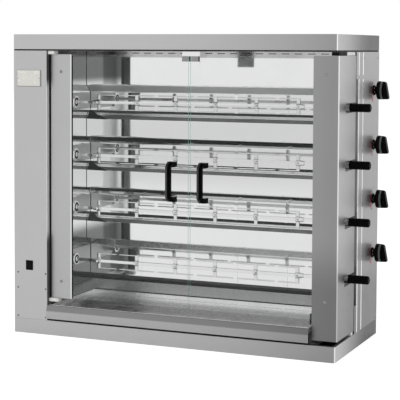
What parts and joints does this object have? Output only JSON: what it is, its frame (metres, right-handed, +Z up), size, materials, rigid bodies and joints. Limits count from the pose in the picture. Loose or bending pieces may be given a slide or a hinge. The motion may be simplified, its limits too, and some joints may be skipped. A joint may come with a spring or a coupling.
{
  "type": "gas chicken rotisserie",
  "caption": "Countertop gas rotisserie for chickens: stacked spits turn behind two glass doors, with burners in the back wall and a sliding drip tray.",
  "frame": {"origin": "centre of the flat underside of the base pan", "axes": "+X to the right seen from the front, +Y to the back, +Z up"},
  "size_m": [1.203, 0.5305, 1.015],
  "materials": {
    "stainless": "satin",
    "mirror_steel": "polished",
    "spit_steel": "polished",
    "machine_steel": "satin",
    "clear_glass": "gloss",
    "black_plastic": "satin",
    "white_plastic": "matte",
    "motor_paint": "satin",
    "brass": "satin",
    "badge": "satin",
    "dark_screws": "satin"
  },
  "bodies": {
    "frame": {"base_pan": "stainless", "top_cap": "stainless", "ceiling_plate": "stainless", "left_cover": "stainless", "left_wall": "mirror_steel", "back_cover": "stainless", "right_frame": "stainless", "right_cover": "stainless", "gas_partition": "stainless", "back_reflectors": "mirror_steel", "reflector_straps": "mirror_steel", "drip_skirts": "mirror_steel", "tray_runners": "stainless", "spit_rest": "spit_steel", "door_bushes": "white_plastic", "door_catch": "stainless", "badge_plate": "badge", "cover_screws": "dark_screws", "switch_body": "black_plastic", "cable_gland": "black_plastic", "drive_bearings": "machine_steel", "drive_chain": "machine_steel", "gear_motor": "motor_paint", "motor_bracket": "machine_steel", "burners": "spit_steel", "gas_manifold": "brass", "gas_valves": "brass", "gas_inlet": "brass"},
    "drip_tray": {"drip_tray": "stainless"},
    "left_door": {"left_door_glass": "clear_glass", "left_door_strip": "stainless", "left_door_handle": "black_plastic", "left_door_screws": "spit_steel", "left_door_strike": "stainless"},
    "right_door": {"right_door_glass": "clear_glass", "right_door_strip": "stainless", "right_door_handle": "black_plastic", "right_door_screws": "spit_steel", "right_door_strike": "stainless"},
    "drive_1": {"drive_shaft_1": "machine_steel"},
    "spit_1": {"spit_rod_1": "spit_steel", "spit_forks_1": "spit_steel"},
    "valve_stem_1": {"valve_stem_1": "brass"},
    "knob_1": {"knob_1": "black_plastic"},
    "drive_2": {"drive_shaft_2": "machine_steel"},
    "spit_2": {"spit_rod_2": "spit_steel", "spit_forks_2": "spit_steel"},
    "valve_stem_2": {"valve_stem_2": "brass"},
    "knob_2": {"knob_2": "black_plastic"},
    "drive_3": {"drive_shaft_3": "machine_steel"},
    "spit_3": {"spit_rod_3": "spit_steel", "spit_forks_3": "spit_steel"},
    "valve_stem_3": {"valve_stem_3": "brass"},
    "knob_3": {"knob_3": "black_plastic"},
    "drive_4": {"drive_shaft_4": "machine_steel"},
    "spit_4": {"spit_rod_4": "spit_steel", "spit_forks_4": "spit_steel"},
    "valve_stem_4": {"valve_stem_4": "brass"},
    "knob_4": {"knob_4": "black_plastic"},
    "switch_rocker": {"switch_rocker": "black_plastic"}
  },
  "joints": [
    {"name": "left_door_hinge", "type": "hinge", "parent": "frame", "child": "left_door", "pos_m": [-0.424, -0.215, 0.5365], "axis": [0, 0, 1], "range_deg": [-110, 0]},
    {"name": "right_door_hinge", "type": "hinge", "parent": "frame", "child": "right_door", "pos_m": [0.555, -0.0535, 0.505], "axis": [0, 0, 1], "range_deg": [0, 100]},
    {"name": "drip_tray_slide", "type": "slide", "parent": "frame", "child": "drip_tray", "axis": [0, -1, 0], "range_m": [0, 0.28]},
    {"name": "drive_1_spin", "type": "hinge", "parent": "frame", "child": "drive_1", "pos_m": [-0.44, -0.085, 0.784], "axis": [1, 0, 0], "continuous": true},
    {"name": "drive_2_spin", "type": "hinge", "parent": "frame", "child": "drive_2", "pos_m": [-0.44, -0.085, 0.602], "axis": [1, 0, 0], "continuous": true},
    {"name": "drive_3_spin", "type": "hinge", "parent": "frame", "child": "drive_3", "pos_m": [-0.44, -0.085, 0.42], "axis": [1, 0, 0], "continuous": true},
    {"name": "drive_4_spin", "type": "hinge", "parent": "frame", "child": "drive_4", "pos_m": [-0.44, -0.085, 0.238], "axis": [1, 0, 0], "continuous": true},
    {"name": "spit_1_pull", "type": "slide", "parent": "drive_1", "child": "spit_1", "axis": [1, 0, 0], "range_m": [0, 0.03]},
    {"name": "spit_2_pull", "type": "slide", "parent": "drive_2", "child": "spit_2", "axis": [1, 0, 0], "range_m": [0, 0.03]},
    {"name": "spit_3_pull", "type": "slide", "parent": "drive_3", "child": "spit_3", "axis": [1, 0, 0], "range_m": [0, 0.03]},
    {"name": "spit_4_pull", "type": "slide", "parent": "drive_4", "child": "spit_4", "axis": [1, 0, 0], "range_m": [0, 0.03]},
    {"name": "valve_1_turn", "type": "hinge", "parent": "frame", "child": "valve_stem_1", "pos_m": [0.57, 0.182, 0.832], "axis": [1, 0, 0], "range_deg": [0, 200]},
    {"name": "valve_2_turn", "type": "hinge", "parent": "frame", "child": "valve_stem_2", "pos_m": [0.57, 0.182, 0.65], "axis": [1, 0, 0], "range_deg": [0, 200]},
    {"name": "valve_3_turn", "type": "hinge", "parent": "frame", "child": "valve_stem_3", "pos_m": [0.57, 0.182, 0.468], "axis": [1, 0, 0], "range_deg": [0, 200]},
    {"name": "valve_4_turn", "type": "hinge", "parent": "frame", "child": "valve_stem_4", "pos_m": [0.57, 0.182, 0.286], "axis": [1, 0, 0], "range_deg": [0, 200]},
    {"name": "knob_1_push", "type": "slide", "parent": "valve_stem_1", "child": "knob_1", "axis": [-1, 0, 0], "range_m": [0, 0.003], "stiffness_N_per_m": 900, "springref_m": -0.003},
    {"name": "knob_2_push", "type": "slide", "parent": "valve_stem_2", "child": "knob_2", "axis": [-1, 0, 0], "range_m": [0, 0.003], "stiffness_N_per_m": 900, "springref_m": -0.003},
    {"name": "knob_3_push", "type": "slide", "parent": "valve_stem_3", "child": "knob_3", "axis": [-1, 0, 0], "range_m": [0, 0.003], "stiffness_N_per_m": 900, "springref_m": -0.003},
    {"name": "knob_4_push", "type": "slide", "parent": "valve_stem_4", "child": "knob_4", "axis": [-1, 0, 0], "range_m": [0, 0.003], "stiffness_N_per_m": 900, "springref_m": -0.003},
    {"name": "switch_tip", "type": "hinge", "parent": "frame", "child": "switch_rocker", "pos_m": [-0.5105, -0.239, 0.233], "axis": [1, 0, 0], "range_deg": [-16, 0]}
  ],
  "couplings": [
    {"joint": "drive_1_spin", "follows": "drive_4_spin", "ratio": 1},
    {"joint": "drive_2_spin", "follows": "drive_4_spin", "ratio": 1},
    {"joint": "drive_3_spin", "follows": "drive_4_spin", "ratio": 1}
  ]
}
